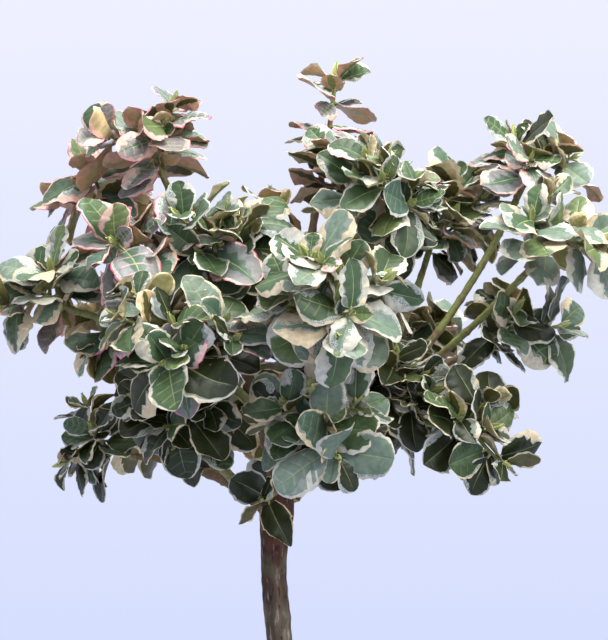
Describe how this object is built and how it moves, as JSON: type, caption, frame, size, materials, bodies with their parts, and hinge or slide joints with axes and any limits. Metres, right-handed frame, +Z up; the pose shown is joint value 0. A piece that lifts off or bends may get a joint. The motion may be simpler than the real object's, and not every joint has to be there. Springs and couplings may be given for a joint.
{
  "type": "lollipop topiary shrub in a pot",
  "caption": "Variegated evergreen shrub trained as a half-standard: a loose round crown of small rounded leaves on a clear woody stem, planted in a plain round clay pot.",
  "frame": {"origin": "middle of the pot's flat underside", "axes": "+Z up along the stem, -Y the side of the crown that the picture shows, +X to the right in it"},
  "size_m": [0.4018, 0.3831, 1.0231],
  "materials": {
    "clay": "matte",
    "compost": "matte",
    "bark": "matte",
    "young_bark": "matte",
    "foliage": "satin"
  },
  "bodies": {
    "root": {"pot": "clay", "compost": "compost", "trunk": "bark", "bough_leader": "young_bark", "bough_right_mid": "young_bark", "bough_left_top": "young_bark", "bough_front_centre": "young_bark", "bough_back": "young_bark", "bough_left_low": "young_bark", "bough_left_outer": "young_bark", "bough_left_upper": "young_bark", "bough_left_mid": "young_bark", "bough_front_left": "young_bark", "bough_front_left_top": "young_bark", "bough_front_top": "young_bark", "bough_top_mid": "young_bark", "bough_collar": "young_bark", "bough_heart": "young_bark", "bough_front_low": "young_bark", "bough_front_low_left": "young_bark", "bough_right_upper": "young_bark", "bough_right_outer": "young_bark", "bough_right_low": "young_bark", "bough_right_inner": "young_bark", "bough_right_heart": "young_bark", "bough_back_left": "young_bark", "bough_back_right": "young_bark", "bough_back_top": "young_bark", "bough_back_low": "young_bark", "bough_back_left_low": "young_bark", "bough_back_right_low": "young_bark", "foliage_leader": "foliage", "foliage_right_mid": "foliage", "foliage_left_top": "foliage", "foliage_front_centre": "foliage", "foliage_back": "foliage", "foliage_left_low": "foliage", "foliage_left_outer": "foliage", "foliage_left_upper": "foliage", "foliage_left_mid": "foliage", "foliage_front_left": "foliage", "foliage_front_left_top": "foliage", "foliage_front_top": "foliage", "foliage_top_mid": "foliage", "foliage_collar": "foliage", "foliage_heart": "foliage", "foliage_front_low": "foliage", "foliage_front_low_left": "foliage", "foliage_right_upper": "foliage", "foliage_right_outer": "foliage", "foliage_right_low": "foliage", "foliage_right_inner": "foliage", "foliage_right_heart": "foliage", "foliage_back_left": "foliage", "foliage_back_right": "foliage", "foliage_back_top": "foliage", "foliage_back_low": "foliage", "foliage_back_left_low": "foliage", "foliage_back_right_low": "foliage"}
  },
  "joints": []
}
